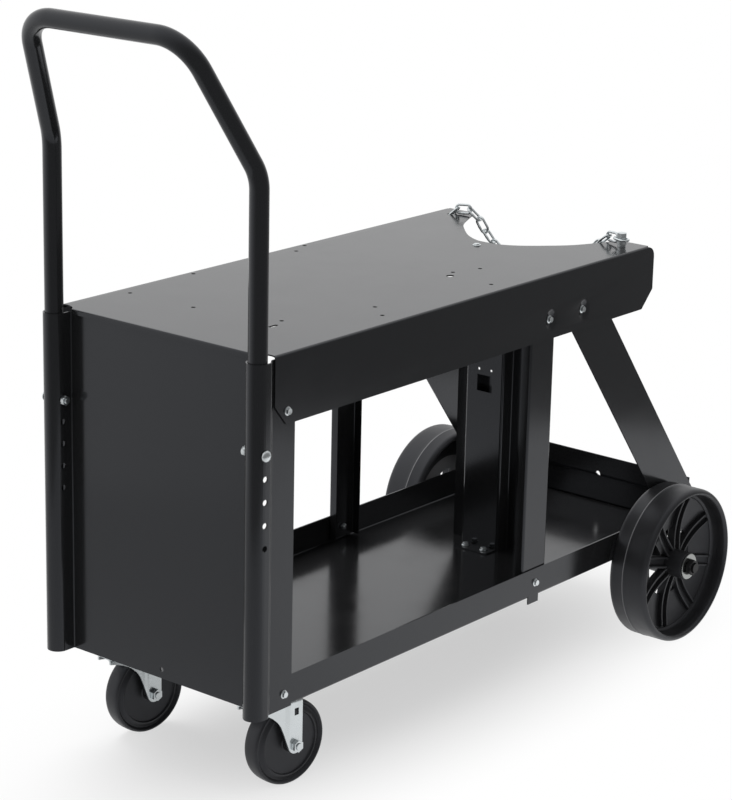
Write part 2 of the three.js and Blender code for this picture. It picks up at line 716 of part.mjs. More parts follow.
function linkMesh(name, from, to, upright) {
  const loop = new THREE.TubeGeometry(new LinkLoop(), 10, link.wire / 2, 5, true);
  const piece = mesh(name, solid(loop), zinc);
  const along = to.clone().sub(from).normalize();
  const level = new THREE.Vector3(0, 0, 1).cross(along).normalize();
  const normal = along.clone().cross(level);
  const basis = new THREE.Matrix4();
  if (upright) {
    basis.makeBasis(along, normal, level.clone().negate());
  } else {
    basis.makeBasis(along, level, normal);
  }
  piece.quaternion.setFromRotationMatrix(basis);
  piece.position.copy(from).add(to).multiplyScalar(0.5);
  return piece;
}

// Joint points of a hanging run: equal chords along the catenary z = a cosh(y / a)
function hangingRun(x, half, z, count) {
  const walk = (a) => {
    const points = [half];
    for (let i = 0; i < count; i += 1) {
      const y = points[i];
      let [near, far] = [y - chainPitch, y];
      for (let k = 0; k < 50; k += 1) {
        const middle = (near + far) / 2;
        const drop = a * (Math.cosh(middle / a) - Math.cosh(y / a));
        if (Math.hypot(middle - y, drop) > chainPitch) {
          near = middle;
        } else {
          far = middle;
        }
      }
      points.push(far);
    }
    return points;
  };
  let [tight, loose] = [20, 5000];
  for (let k = 0; k < 60; k += 1) {
    const a = (tight + loose) / 2;
    if (walk(a)[count] > -half) {
      tight = a;
    } else {
      loose = a;
    }
  }
  const a = loose;
  return walk(a).map((y) => new THREE.Vector3(x, y, z + a * (Math.cosh(y / a) - Math.cosh(half / a))));
}

const uprightLevel = trayTop + link.width / 2 + link.wire + gap;
const toCorner = new THREE.Vector3(Math.sin(chainTurn), -Math.cos(chainTurn), 0);

function chain() {
  const slot = new THREE.Vector3(chainSlot.x, chainSlot.y, 0);
  const along = (reach, z) => slot.clone().addScaledVector(toCorner, reach).setZ(z);
  const emerged = (uprightLevel - trayTop + sheet / 2) / Math.tan(chainDip);
  const dip = { reach: chainPitch * Math.cos(chainDip), drop: chainPitch * Math.sin(chainDip) };
  const left = [
    along(emerged - dip.reach, uprightLevel - dip.drop),
    along(emerged, uprightLevel),
    along(emerged + chainPitch, uprightLevel + 1.4),
    along(emerged + chainPitch + 17.2, uprightLevel - 12.8),
  ];
  const edge = left[3];
  const run = hangingRun(edge.x, edge.y, edge.z + swingClearance, hangingLinks);
  const last = left[2].clone().setY(-left[2].y);
  const home = new THREE.Vector3(chainBolt.x, chainBolt.y, 0).sub(last).setZ(0).normalize();
  const level = chainSpacerTop + link.wire / 2 + gap;
  const reach = Math.sqrt(chainPitch ** 2 - (level - last.z) ** 2);
  const right = [last.clone().addScaledVector(home, reach).setZ(level)];
  right.push(right[0].clone().addScaledVector(home, chainPitch));
  const route = [...left, ...run.slice(1), last, ...right];
  const tail = toCorner.clone().negate().setZ(-3).setLength(chainPitch);
  route.unshift(left[0].clone().add(tail));
  const links = route.slice(1).map((to, i) => {
    const name = `chain_link_${String(i + 1).padStart(2, "0")}`;
    return linkMesh(name, route[i], to, i % 2 === 0);
  });
  return links;
}

// Chain bolt: stands on the tray, with a spacer below the first link
const chainSpacerTop = trayTop + 10;

function chainBoltBody() {
  const { x, y, radius } = chainBolt;
  const [head, nut] = [chainBoltHead, chainBoltNut];
  const seat = chainSpacerTop + link.wire + 2 * gap;
  const under = trayTop - sheet - gap;
  return joined(
    rodZ(x, y, under - nut.height - 4, seat + 1, radius, 12),
    rodZ(x, y, seat, seat + head.height, head.radius, 6),
    rodZ(x, y, under - nut.height, under, nut.radius, 6),
  );
}

function chainSpacer() {
  const { x, y, radius } = chainBolt;
  const base = trayTop + gap;
  const hole = rodZ(x, y, base - 1, chainSpacerTop + 1, radius + gap, 12);
  const sleeve = rodZ(x, y, base, chainSpacerTop - 5, 6.6, 16);
  const collar = rodZ(x, y, chainSpacerTop - 5, chainSpacerTop, 7.8, 16);
  return cut(joined(sleeve, collar), hole);
}

// Assembly, shifted so that the frame's origin is under the middle of the object
const cart = new THREE.Group();
const foremost = handleTop.x - tubeRadius;
const rearmost = axleX + wheelRadius;
cart.position.x = -(foremost + rearmost) / 2;

cart.add(mesh("front_panel", frontPanel(), blackPaint));
cart.add(mesh("top_tray", topTray(), blackPaint));
cart.add(mesh("bottom_tray", bottomTray(), blackPaint));
cart.add(mesh("rear_wall", rearWall(), blackPaint));
cart.add(mesh("centre_post", centrePost(), blackPaint));
cart.add(mesh("handle", handle(), blackPaint));
cart.add(mesh("axle", axle(), darkSteel));
for (const [name, side] of [["left", 1], ["right", -1]]) {
  const half = new THREE.Group();
  half.scale.y = side;
  half.add(mesh(`${name}_post`, post(), blackPaint));
  half.add(mesh(`${name}_strut`, strut(), blackPaint));
  half.add(handleBolt(name), handleNut(name));
  const wheel = mesh(`${name}_wheel`, rearWheel(), blackRubber);
  wheel.position.set(axleX, wheelY, axleZ);
  half.add(wheel);
  const washer = ring(axleX, axleZ, washerSeat, washerSeat + washerThick, washerRadius, axleRadius + gap, 20);
  half.add(mesh(`${name}_washer`, washer, zinc));
  const nut = ring(axleX, axleZ, nutSeat, nutSeat + axleNut.height, axleNut.radius, axleRadius + gap, 6);
  half.add(mesh(`${name}_axle_nut`, nut, darkSteel));
  cart.add(half, caster(name, side));
}
cart.add(mesh("chain_bolt", chainBoltBody(), zinc));
cart.add(mesh("chain_spacer", chainSpacer(), zinc));
cart.add(...chain());

export default cart;
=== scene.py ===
import json
import bmesh
import bpy
import numpy as np
from mathutils import Matrix

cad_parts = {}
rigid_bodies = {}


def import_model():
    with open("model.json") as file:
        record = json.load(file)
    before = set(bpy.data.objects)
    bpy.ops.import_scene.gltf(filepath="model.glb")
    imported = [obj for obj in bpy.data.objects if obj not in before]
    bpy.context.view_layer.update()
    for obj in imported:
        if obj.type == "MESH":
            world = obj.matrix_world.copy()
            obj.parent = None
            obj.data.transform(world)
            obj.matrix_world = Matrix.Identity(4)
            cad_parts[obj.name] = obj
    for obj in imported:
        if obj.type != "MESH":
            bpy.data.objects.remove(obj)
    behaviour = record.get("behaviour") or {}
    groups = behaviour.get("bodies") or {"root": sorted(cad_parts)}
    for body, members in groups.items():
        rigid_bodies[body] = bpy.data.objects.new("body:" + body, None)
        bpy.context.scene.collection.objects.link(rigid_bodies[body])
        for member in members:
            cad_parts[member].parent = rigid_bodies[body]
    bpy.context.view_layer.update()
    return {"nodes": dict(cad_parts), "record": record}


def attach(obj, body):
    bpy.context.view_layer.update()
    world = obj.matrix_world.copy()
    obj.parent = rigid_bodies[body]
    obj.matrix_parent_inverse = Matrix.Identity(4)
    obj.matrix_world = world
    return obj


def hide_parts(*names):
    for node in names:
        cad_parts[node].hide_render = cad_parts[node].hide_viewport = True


for leftover in list(bpy.data.objects):
    bpy.data.objects.remove(leftover)
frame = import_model()

# Camera: it stands before the cart's right front corner, half a metre higher than the handle, and
# looks down along the tray through a long lens.
camera_place = (-2.9825, -2.3918, 1.5826)
yaw, pitch, roll = np.radians([50.94, 16.46, 1.26])
sight = np.array([np.sin(yaw) * np.cos(pitch), np.cos(yaw) * np.cos(pitch), -np.sin(pitch)])
level = np.array([np.cos(yaw), -np.sin(yaw), 0.0])
overhead = np.cross(level, sight)
rightward = np.cos(roll) * level + np.sin(roll) * overhead
upward = np.cos(roll) * overhead - np.sin(roll) * level
pose = np.eye(4)
pose[:3] = np.stack([rightward, upward, -sight, camera_place], axis=1)
lens = bpy.data.cameras.new("camera")
lens.lens = 118.85
lens.sensor_width = 36.0
lens.clip_end = 100.0
camera = bpy.data.objects.new("camera", lens)
camera.matrix_world = Matrix(pose.tolist())
bpy.context.collection.objects.link(camera)
bpy.context.scene.camera = camera
bpy.context.scene.view_settings.view_transform = "Standard"

# Studio: a round white floor that fades out into a white surround, which is brightest behind the
# cart and dim on the camera's side. One wide lamp hangs over the far side, and nothing mirrors it.

# The sockets of a mix node share their names, so they go by number: its factor, the two numbers that
# it mixes and the result
mix_factor, number_a, number_b, number_out = 0, 2, 3, 0


def wire(tree, source, target):
    """Joins an output socket to an input socket."""
    tree.links.new(source, target)


def node(tree, kind, **settings):
    """Adds a node of that kind. A setting named after a property sets it, and inputs={name or
    number: value} sets sockets."""
    made = tree.nodes.new(kind)
    values = settings.pop("inputs", {})
    for name, value in settings.items():
        setattr(made, name, value)
    for name, value in values.items():
        made.inputs[name].default_value = value
    return made


def ramp(tree, start, end, low, high, kind="SMOOTHSTEP"):
    """A node that takes start to low and end to high, in a smooth step or a straight line."""
    limits = {"From Min": start, "From Max": end, "To Min": low, "To Max": high}
    return node(tree, "ShaderNodeMapRange", interpolation_type=kind, inputs=limits)


def grid_faces(rows, columns):
    """Quads of a grid of rows by columns points, numbered along the columns. Each row closes into a
    ring, its last column joined to its first."""
    i, j = np.meshgrid(np.arange(rows - 1), np.arange(columns), indexing="ij")
    k = (j + 1) % columns
    corners = [i * columns + j, i * columns + k, (i + 1) * columns + k, (i + 1) * columns + j]
    return np.stack(corners, axis=-1).reshape(-1, 4)


def shape(name, points, faces, finish):
    """A mesh object at the origin from an array of points in metres and an array of faces, closed
    where points meet at a seam or a pole, and smooth except at folds sharper than 35 degrees."""
    mesh = bpy.data.meshes.new(name)
    mesh.from_pydata(np.reshape(points, (-1, 3)).tolist(), [], np.asarray(faces).tolist())
    joined = bmesh.new()
    joined.from_mesh(mesh)
    bmesh.ops.remove_doubles(joined, verts=joined.verts, dist=0.000001)
    joined.to_mesh(mesh)
    joined.free()
    mesh.validate()
    mesh.shade_smooth()
    mesh.set_sharp_from_angle(angle=np.radians(35.0))
    mesh.materials.append(finish)
    made = bpy.data.objects.new(name, mesh)
    bpy.context.collection.objects.link(made)
    return made


def floor_finish():
    """White paint that glows where it is seen or mirrored, by a share that grows with the distance
    from the cart, and is matt besides, so that the shadow stays. Mirrored, it dims to the front."""
    paint = bpy.data.materials.new("floor_white")
    paint.use_nodes = True
    tree = paint.node_tree
    tree.nodes.clear()
    place = node(tree, "ShaderNodeTexCoord")
    footprint = node(tree, "ShaderNodeVectorMath", operation="MULTIPLY", inputs={1: (0.55, 1.6, 1.0)})
    reach = node(tree, "ShaderNodeVectorMath", operation="LENGTH")
    fade = ramp(tree, 0.15, 0.6, 0.54, 1.0)
    ray = node(tree, "ShaderNodeLightPath")
    seen = node(tree, "ShaderNodeMath", operation="MAXIMUM")
    share = node(tree, "ShaderNodeMath", operation="MULTIPLY")
    apart = node(tree, "ShaderNodeSeparateXYZ")
    front_dim = ramp(tree, -1.1, 0.3, 0.62, 1.0)
    strength = node(tree, "ShaderNodeMix", data_type="FLOAT", inputs={number_a: 1.0})
    matt = node(tree, "ShaderNodeBsdfDiffuse", inputs={"Color": (0.86, 0.86, 0.86, 1.0)})
    glow = node(tree, "ShaderNodeEmission")
    blend = node(tree, "ShaderNodeMixShader")
    sink = node(tree, "ShaderNodeOutputMaterial")
    wire(tree, place.outputs["Object"], footprint.inputs[0])
    wire(tree, footprint.outputs["Vector"], reach.inputs[0])
    wire(tree, reach.outputs["Value"], fade.inputs["Value"])
    wire(tree, ray.outputs["Is Camera Ray"], seen.inputs[0])
    wire(tree, ray.outputs["Is Glossy Ray"], seen.inputs[1])
    wire(tree, fade.outputs["Result"], share.inputs[0])
    wire(tree, seen.outputs["Value"], share.inputs[1])
    wire(tree, place.outputs["Object"], apart.inputs["Vector"])
    wire(tree, apart.outputs["X"], front_dim.inputs["Value"])
    wire(tree, ray.outputs["Is Glossy Ray"], strength.inputs[mix_factor])
    wire(tree, front_dim.outputs["Result"], strength.inputs[number_b])
    wire(tree, strength.outputs[number_out], glow.inputs["Strength"])
    wire(tree, share.outputs["Value"], blend.inputs["Fac"])
    wire(tree, matt.outputs["BSDF"], blend.inputs[1])
    wire(tree, glow.outputs["Emission"], blend.inputs[2])
    wire(tree, blend.outputs["Shader"], sink.inputs["Surface"])
    return paint


def white_surround():
    """A world that is white where it is seen. Mirrored, it brightens towards the cart's far side, by
    the cosine of the angle from there, and it lights the cart evenly."""
    world = bpy.data.worlds.new("surround")
    world.use_nodes = True
    tree = world.node_tree
    tree.nodes.clear()
    place = node(tree, "ShaderNodeTexCoord")
    facing = node(tree, "ShaderNodeVectorMath", operation="DOT_PRODUCT", inputs={1: (0.18, 0.85, 0.5)})
    shade = ramp(tree, -0.52, 0.79, 0.2, 1.0)
    ray = node(tree, "ShaderNodeLightPath")
    mirrored = node(tree, "ShaderNodeMath", operation="MAXIMUM")
    lit_or_mirrored = node(tree, "ShaderNodeMix", data_type="FLOAT", inputs={number_a: 0.62})
    strength = node(tree, "ShaderNodeMix", data_type="FLOAT", inputs={number_b: 1.0})
    white = node(tree, "ShaderNodeBackground", inputs={"Color": (1.0, 1.0, 1.0, 1.0)})
    sink = node(tree, "ShaderNodeOutputWorld")
    wire(tree, place.outputs["Generated"], facing.inputs[0])
    wire(tree, facing.outputs["Value"], shade.inputs["Value"])
    wire(tree, ray.outputs["Is Glossy Ray"], mirrored.inputs[0])
    wire(tree, ray.outputs["Is Transmission Ray"], mirrored.inputs[1])
    wire(tree, mirrored.outputs["Value"], lit_or_mirrored.inputs[mix_factor])
    wire(tree, shade.outputs["Result"], lit_or_mirrored.inputs[number_b])
    wire(tree, ray.outputs["Is Camera Ray"], strength.inputs[mix_factor])
    wire(tree, lit_or_mirrored.outputs[number_out], strength.inputs[number_a])
    wire(tree, strength.outputs[number_out], white.inputs["Strength"])
    wire(tree, white.outputs["Background"], sink.inputs["Surface"])
    return world


floor_radius, floor_rings, floor_spokes = 1.65, 12, 72
ring, spoke = np.meshgrid(
    np.linspace(0.0, floor_radius, floor_rings),
    np.arange(floor_spokes) * 2.0 * np.pi / floor_spokes,
    indexing="ij",
)
floor_points = np.stack([ring * np.cos(spoke), ring * np.sin(spoke), 0.0 * ring], axis=-1)
floor = shape("floor", floor_points, grid_faces(floor_rings, floor_spokes), floor_finish())
bpy.context.scene.world = white_surround()

lamp_place, lamp_tilt = (0.1, 1.5, 2.4), np.radians(-32.0)
lamp = bpy.data.lights.new("far_side_lamp", "AREA")
lamp.shape = "DISK"
lamp.size = 2.2
lamp.energy = 60.0
lamp_stand = bpy.data.objects.new("far_side_lamp", lamp)
lamp_stand.matrix_world = Matrix.Translation(lamp_place) @ Matrix.Rotation(lamp_tilt, 4, "X")
lamp_stand.visible_glossy = False
bpy.context.collection.objects.link(lamp_stand)

# Bottom tray: one folded steel sheet, its long edges turned up as rails, with axle brackets welded
# below. Like every sheet of the cart it is powder coated in a half gloss black.

# The two colours that a mix node mixes and its result, also by number
colour_a, colour_b, colour_out = 6, 7, 2


def surface_group(name, relief, patches, specks, bump, roughness):
    """A node group for one kind of surface, from noise on the piece's own coordinates: relief makes
    the bump, patches take the roughness between two levels, and specks mix the two colours put in."""
    group = bpy.data.node_groups.new(name, "ShaderNodeTree")
    group.interface.new_socket("Dark Colour", in_out="INPUT", socket_type="NodeSocketColor")
    group.interface.new_socket("Light Colour", in_out="INPUT", socket_type="NodeSocketColor")
    group.interface.new_socket("Colour", in_out="OUTPUT", socket_type="NodeSocketColor")
    group.interface.new_socket("Roughness", in_out="OUTPUT", socket_type="NodeSocketFloat")
    group.interface.new_socket("Normal", in_out="OUTPUT", socket_type="NodeSocketVector")
    source = node(group, "NodeGroupInput")
    place = node(group, "ShaderNodeTexCoord")
    height = node(group, "ShaderNodeTexNoise", inputs=relief)
    cloud = node(group, "ShaderNodeTexNoise", inputs=patches)
    fleck = node(group, "ShaderNodeTexNoise", inputs=specks)
    dent = node(group, "ShaderNodeBump", inputs=bump)
    gloss = ramp(group, 0.3, 0.7, *roughness, kind="LINEAR")
    tint = node(group, "ShaderNodeMix", data_type="RGBA")
    sink = node(group, "NodeGroupOutput")
    for noise in (height, cloud, fleck):
        wire(group, place.outputs["Object"], noise.inputs["Vector"])
    wire(group, height.outputs["Fac"], dent.inputs["Height"])
    wire(group, cloud.outputs["Fac"], gloss.inputs["Value"])
    wire(group, fleck.outputs["Fac"], tint.inputs[mix_factor])
    wire(group, source.outputs["Dark Colour"], tint.inputs[colour_a])
    wire(group, source.outputs["Light Colour"], tint.inputs[colour_b])
    wire(group, tint.outputs[colour_out], sink.inputs["Colour"])
    wire(group, gloss.outputs["Result"], sink.inputs["Roughness"])
    wire(group, dent.outputs["Normal"], sink.inputs["Normal"])
    return group


def finish_of(name, group, dark, light, **sockets):
    """A material whose shader takes colour, roughness and bump from a node group, between a dark and
    a light colour. Values that are the same all over are set on the shader's own sockets."""
    made = bpy.data.materials.new(name)
    made.use_nodes = True
    shader = made.node_tree.nodes["Principled BSDF"]
    colours = {"Dark Colour": (*dark, 1.0), "Light Colour": (*light, 1.0)}
    detail = node(made.node_tree, "ShaderNodeGroup", node_tree=group, inputs=colours)
    wire(made.node_tree, detail.outputs["Colour"], shader.inputs["Base Color"])
    wire(made.node_tree, detail.outputs["Roughness"], shader.inputs["Roughness"])
    wire(made.node_tree, detail.outputs["Normal"], shader.inputs["Normal"])
    for socket, value in sockets.items():
        shader.inputs[socket.replace("_", " ")].default_value = value
    return made


def smooth_bends():
    """A node group that joins a solid's loose triangles and shades it smooth, except at edges where
    the faces turn by more than 48 degrees."""
    group = bpy.data.node_groups.new("smooth_bends", "GeometryNodeTree")
    group.interface.new_socket("Geometry", in_out="INPUT", socket_type="NodeSocketGeometry")
    group.interface.new_socket("Geometry", in_out="OUTPUT", socket_type="NodeSocketGeometry")
    source = node(group, "NodeGroupInput")
    weld = node(group, "GeometryNodeMergeByDistance", inputs={"Distance": 0.00001})
    smooth = node(group, "GeometryNodeSetShadeSmooth", domain="FACE")
    angle = node(group, "GeometryNodeInputMeshEdgeAngle")
    sharp = node(group, "FunctionNodeCompare", operation="GREATER_THAN", inputs={1: np.radians(48.0)})
    crease = node(group, "GeometryNodeSetShadeSmooth", domain="EDGE", inputs={"Shade Smooth": False})
    sink = node(group, "NodeGroupOutput")
    wire(group, source.outputs[0], weld.inputs["Geometry"])
    wire(group, weld.outputs["Geometry"], smooth.inputs["Geometry"])
    wire(group, smooth.outputs["Geometry"], crease.inputs["Geometry"])
    wire(group, angle.outputs["Unsigned Angle"], sharp.inputs[0])
    wire(group, sharp.outputs["Result"], crease.inputs["Selection"])
    wire(group, crease.outputs["Geometry"], sink.inputs[0])
    return group


def dress(name, finish):
    """Gives a solid of the frame its finish, smooths its bends and keeps its flat faces flat."""
    part = frame["nodes"][name]
    part.modifiers.new("smooth_bends", "NODES").node_group = bends
    flat = part.modifiers.new("flat_faces", "WEIGHTED_NORMAL")
    flat.weight = 100
    flat.keep_sharp = True
    for slot in part.material_slots:
        slot.material = finish


bends = smooth_bends()
orange_peel = surface_group(
    "powder_coat_skin",
    relief={"Scale": 330.0, "Detail": 2.0, "Roughness": 0.45},
    patches={"Scale": 14.0, "Detail": 4.0, "Roughness": 0.6},
    specks={"Scale": 1500.0, "Detail": 1.0},
    bump={"Strength": 0.035, "Distance": 0.0003},
    roughness=(0.13, 0.18),
)
powder_coat = finish_of(
    "black_powder_coat", orange_peel, (0.0085, 0.0087, 0.0092), (0.0155, 0.0157, 0.0162),
    Specular_Tint=(0.87, 0.91, 1.0, 1.0),
)
dress("bottom_tray", powder_coat)

# Rear wall, posts, struts and centre post: bent sheets between the two trays, bolted through the
# rails below and the skirts above.
for name in ("rear_wall", "left_post", "right_post", "left_strut", "right_strut", "centre_post"):
    dress(name, powder_coat)

# Front panel: one sheet whose upright edges are rolled into open sleeves for the handle and turned
# back as side flanges.
dress("front_panel", powder_coat)

# Top tray: the deck for the machine, folded down at its sides and front, with a rounded notch in the
# shape of a V for a cylinder at its rear edge.
dress("top_tray", powder_coat)

# Sheet bolts: zinc plated flange bolts through the skirts, flanges, rails and posts, the same on
# both sides, each with a nut on the inside, and three more that hold the centre post.
plating_bloom = {"Scale": 38.0, "Detail": 3.0, "Roughness": 0.5}
plating = surface_group(
    "zinc_plating",
    relief={"Scale": 900.0, "Detail": 3.0},
    patches=plating_bloom,
    specks=plating_bloom,
    bump={"Strength": 0.06, "Distance": 0.0001},
    roughness=(0.2, 0.38),
)
zinc_dark, zinc_light = np.array([(0.66, 0.7, 0.72), (0.8, 0.84, 0.85)])
bright_zinc = finish_of("bright_zinc", plating, zinc_dark, zinc_light, Metallic=1.0)

# From here on lengths are in millimetres, counted along the cart from the tray's front edge. This is
# the place of that edge in metres, from the frame's origin at the cart's middle
front_edge = np.array([-0.482825, 0.0, 0.0])
hands = ((1.0, "left"), (-1.0, "right"))


def turned(profile, columns=48, flats=0.0):
    """A surface turned about w: each radius and height of the profile sweeps a ring. With flats, the
    ring is cut to a hexagon, to flats / cos of the angle from the nearest flat's middle."""
    radius, height = np.asarray(profile, float).T
    turn = np.arange(columns) * 2.0 * np.pi / columns
    reach = np.repeat(radius[:, None], columns, axis=1)
    if flats:
        from_flat = (turn + np.pi / 6.0) % (np.pi / 3.0) - np.pi / 6.0
        reach = np.minimum(reach, flats / np.cos(from_flat))
    return np.stack([reach * np.cos(turn), reach * np.sin(turn), height[:, None] + 0.0 * reach], axis=-1)


def aimed(points, foot, axis):
    """Turns points so that their w runs along an axis of the cart, and stands them on a foot point.
    The other two directions are the part of x square to that axis, and the cross product."""
    w = np.asarray(axis, float)
    u = np.array([1.0, 0.0, 0.0]) - w[0] * w
    u /= np.linalg.norm(u)
    return points @ np.stack([u, np.cross(w, u), w]) + np.asarray(foot, float)


def in_metres(grids):
    """The points of all grids in one list, in metres: a thousandth of each, plus the place of the
    tray's front edge."""
    return np.concatenate([grid.reshape(-1, 3) for grid in grids]) / 1000.0 + front_edge


def gathered(grids):
    """Joins grids of rings into one list of points, in metres, and one list of faces."""
    starts = np.cumsum([0] + [grid.shape[0] * grid.shape[1] for grid in grids])
    faces = [grid_faces(*grid.shape[:2]) + start for grid, start in zip(grids, starts)]
    return in_metres(grids), np.concatenate(faces)


def bolt_head(flats, height, washer):
    """A flange bolt's head: a washer, then six flats that end in a turned crown."""
    corner = flats / np.cos(np.pi / 6.0)
    return [
        turned([(0.0, 0.0), (washer, 0.0), (washer, 0.8), (washer - 0.4, 1.2), (flats, 1.6), (0.0, 1.6)]),
        turned([(0.0, 1.5), (corner, 1.5), (corner, height - 1.0), (corner - 0.25, height - 0.5),
                (flats - 0.2, height), (flats * 0.7, height), (0.0, height - 0.2)], flats=flats),
    ]


def nut(flats, height, thread):
    """A hexagon nut, its corners turned off above and below, with the bolt's end standing out."""
    corner = flats / np.cos(np.pi / 6.0)
    return [
        turned([(0.0, 0.0), (flats - 0.1, 0.0), (corner, 0.8), (corner, height - 0.8),
                (flats - 0.1, height), (thread, height), (0.0, height)], flats=flats),
        turned([(0.0, height - 0.5), (thread, height - 0.5), (thread, height + 1.6),
                (thread - 0.6, height + 2.2), (0.0, height + 2.2)], columns=24),
    ]


def bolted(head, fastener, head_seat, nut_seat, out):
    """A bolt through sheets: the head's grids stand out from its seat, and the nut's grids face the
    other way on theirs."""
    inward = -np.asarray(out, float)
    outside = [aimed(grid, head_seat, out) for grid in head]
    return outside + [aimed(grid, nut_seat, inward) for grid in fastener]


sheet_head = bolt_head(flats=4.3, height=4.6, washer=6.2)
flat_head = bolt_head(flats=4.3, height=2.8, washer=6.6)
sheet_nut = nut(flats=5.0, height=4.6, thread=2.9)

# x and z, then how far out the head's seat and the nut's seat are
side_bolts = [
    (37.0, 575.0, 200.0, 195.7), (39.0, 169.0, 197.7, 193.4), (629.0, 170.0, 195.4, 191.1),
    (637.0, 586.0, 195.4, 191.1), (722.0, 586.0, 195.4, 191.1),
]
for side, hand in hands:
    grids = []
    for x, z, outside, inside in side_bolts:
        grids += bolted(sheet_head, sheet_nut, (x, side * outside, z), (x, side * inside, z), (0, side, 0))
    bolts = shape(f"{hand}_sheet_bolts", *gathered(grids), bright_zinc)
    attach(bolts, "frame")

deck_x, deck_top, deck_under = 712.0, 655.0, 650.7
foot_x, foot_top, foot_under = 733.0, 152.0, 147.7
grids = bolted(flat_head, sheet_nut, (deck_x, 0.0, deck_top), (deck_x, 0.0, deck_under), (0, 0, 1))
for y in (-18.0, 18.0):
    grids += bolted(sheet_head, sheet_nut, (foot_x, y, foot_top), (foot_x, y, foot_under), (0, 0, 1))
bolts = shape("centre_post_bolts", *gathered(grids), bright_zinc)
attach(bolts, "frame")


# Handle: one steel tube bent at four corners, painted like the sheets. Each leg has a slot for its
# bolt, hidden in the sleeve.
def rounded(corners, radii, steps):
    """A path of straight runs with its inner corners rounded: on each corner's arc, a point is the
    arc's centre plus the two end directions weighted by sin of the angle left and of the angle done."""
    corners = np.asarray(corners, float)
    runs = [corners[:1]]
    for before, corner, after, radius in zip(corners, corners[1:], corners[2:], radii):
        back = (before - corner) / np.linalg.norm(before - corner)
        on = (after - corner) / np.linalg.norm(after - corner)
        turn = np.pi - np.arccos(back @ on)
        middle = (back + on) / np.linalg.norm(back + on)
        centre = corner + middle * radius / np.cos(turn / 2.0)
        start = corner + back * radius * np.tan(turn / 2.0) - centre
        end = corner + on * radius * np.tan(turn / 2.0) - centre
        share = np.linspace(0.0, 1.0, steps)[:, None]
        runs.append(centre + (np.sin((1 - share) * turn) * start + np.sin(share * turn) * end) / np.sin(turn))
    return np.concatenate(runs + [corners[-1:]])


def swept(path, radius, columns):
    """A round section carried along a path: at each station the circle lies across the path's
    direction t, from the axis t x X round to t x (t x X)."""
    along = np.gradient(path, axis=0)
    along /= np.linalg.norm(along, axis=1, keepdims=True)
    across = np.cross(along, [1.0, 0.0, 0.0])
    across /= np.linalg.norm(across, axis=1, keepdims=True)
    third = np.cross(along, across)
    turn = np.arange(columns) * 2.0 * np.pi / columns
    circle = np.cos(turn)[None, :, None] * across[:, None] + np.sin(turn)[None, :, None] * third[:, None]
    return path[:, None] + radius * circle


def walled(outer, inner, kept):
    """Faces of a hollow body between an outer and an inner grid of rings. Cells that aren't kept
    are open, and a wall joins the two grids along the edge of every opening and at both ends."""
    rows, columns = outer.shape[:2]
    number = np.arange(rows * columns).reshape(rows, columns)
    below = rows * columns
    after = np.roll(number, -1, axis=1)
    cells = np.stack([number[:-1], after[:-1], after[1:], number[1:]], axis=-1)[kept]
    faces = [cells, cells[:, ::-1] + below]
    padded = np.pad(kept, ((1, 1), (0, 0)))
    for here, there, flip in ((padded[1:], padded[:-1], False), (padded[:-1], padded[1:], True)):
        edge = here & ~there
        pair = np.stack([number[edge], after[edge]], axis=-1)
        pair = pair[:, ::-1] if flip else pair
        faces.append(np.concatenate([pair[:, ::-1], pair + below], axis=1))
    neighbour = np.roll(kept, 1, axis=1)
    for edge, flip in ((kept & ~neighbour, True), (~kept & neighbour, False)):
        pair = np.stack([number[:-1][edge], number[1:][edge]], axis=-1)
        pair = pair[:, ::-1] if flip else pair
        faces.append(np.concatenate([pair[:, ::-1], pair + below], axis=1))
    return np.concatenate(faces)


tube_radius, tube_wall, tube_columns = 13.35, 2.3, 48
leg_x, leg_y, grip_x, grip_y, grip_z = -12.0, 189.6, -101.0, 142.0, 1077.0
leg_end, slot_low, slot_high, leg_bend = 503.0, 519.4, 626.8, 897.0
leg_radius, grip_radius = 70.0, 60.0
bend_steps = 16
left_half = np.array([(leg_x, leg_y, slot_high), (leg_x, leg_y, leg_bend), (grip_x, grip_y, grip_z)])
left_foot = np.array([(leg_x, leg_y, leg_end), (leg_x, leg_y, slot_low)])
other_side = np.array([1.0, -1.0, 1.0])
bend_points = np.concatenate([left_half, left_half[::-1] * other_side])
handle_path = rounded(bend_points, (leg_radius, grip_radius, grip_radius, leg_radius), bend_steps)
handle_path = np.concatenate([left_foot, handle_path, left_foot[::-1] * other_side])
tube = [swept(handle_path, radius, tube_columns) for radius in (tube_radius, tube_radius - tube_wall)]

# The slots go through both sides of each leg, six columns wide
slot_columns = np.arange(-3, 3)
slot_columns = np.concatenate([slot_columns, slot_columns + tube_columns // 2])
tube_kept = np.ones((len(handle_path) - 1, tube_columns), bool)
for slot_row in (1, len(handle_path) - 3):
    tube_kept[slot_row, slot_columns] = False
handle = shape("bent_handle", in_metres(tube), walled(*tube, tube_kept), powder_coat)
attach(handle, "handle")
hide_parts("handle")

